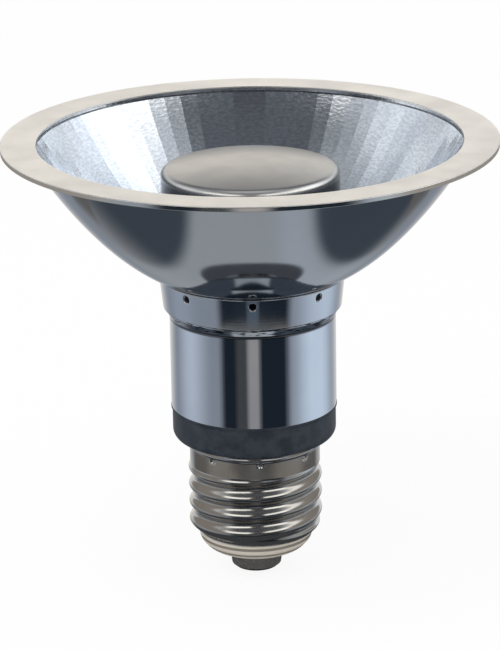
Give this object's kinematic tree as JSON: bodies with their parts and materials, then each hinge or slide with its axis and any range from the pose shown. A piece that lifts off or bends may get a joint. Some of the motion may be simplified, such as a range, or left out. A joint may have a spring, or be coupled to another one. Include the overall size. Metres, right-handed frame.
{
  "type": "reflector lamp with screw cap",
  "caption": "Reflector spot lamp: wide polished bowl with a flat rim, faceted mirror inside, round glare cap in its middle, tube housing, black ring and Edison screw cap.",
  "frame": {"origin": "on the lamp's axis at the tip of the centre contact", "axes": "+Z along the lamp's axis from the contact towards the open bowl; -Y towards the camera of the picture"},
  "size_m": [0.0954, 0.0954, 0.0879],
  "materials": {
    "rim_metal": "satin, spun",
    "bowl_metal": "mirror polished",
    "mirror_metal": "bright mirror with radial facets and a fine hammered grain",
    "cap_metal": "satin top, polished edge and wall",
    "tube_metal": "mirror polished",
    "turned_metal": "turned",
    "ring_plastic": "satin moulded",
    "shell_metal": "nickel plated, rolled",
    "insulator_black": "smooth",
    "contact_metal": "tinned, dull",
    "board_white": "white solder mask",
    "light_yellow": "phosphor filled",
    "screw_steel": "zinc plated",
    "pad_grey": "soft pad",
    "liner_white": "moulded",
    "board_green": "green solder mask",
    "ferrite": "sintered",
    "bobbin_plastic": "moulded",
    "copper_wire": "enamelled copper",
    "can_sleeve": "shrink sleeve",
    "chip_black": "moulded",
    "film_yellow": "moulded box",
    "resistor_body": "lacquered",
    "lead_white": "insulated wire",
    "lead_bare": "tinned copper"
  },
  "bodies": {
    "root": {"rim_ring": "rim_metal", "outer_bowl": "bowl_metal", "reflector": "mirror_metal", "glare_cap": "cap_metal", "led_carrier": "turned_metal", "carrier_screws": "screw_steel", "thermal_pad": "pad_grey", "led_board": "board_white", "led_packages": "light_yellow", "collar": "tube_metal", "heat_spreader": "turned_metal", "housing": "tube_metal", "driver_liner": "liner_white", "driver_board": "board_green", "transformer_core": "ferrite", "transformer_bobbin": "bobbin_plastic", "transformer_winding": "copper_wire", "input_capacitor": "can_sleeve", "output_capacitor": "can_sleeve", "choke_core": "ferrite", "choke_winding": "copper_wire", "bridge_rectifier": "chip_black", "controller_chip": "chip_black", "film_capacitor": "film_yellow", "fuse_resistor": "resistor_body", "lamp_leads": "lead_white", "shell_lead": "lead_bare", "contact_lead": "lead_bare", "base_ring": "ring_plastic", "screw_shell": "shell_metal", "cap_insulator": "insulator_black", "centre_contact": "contact_metal"}
  },
  "joints": []
}
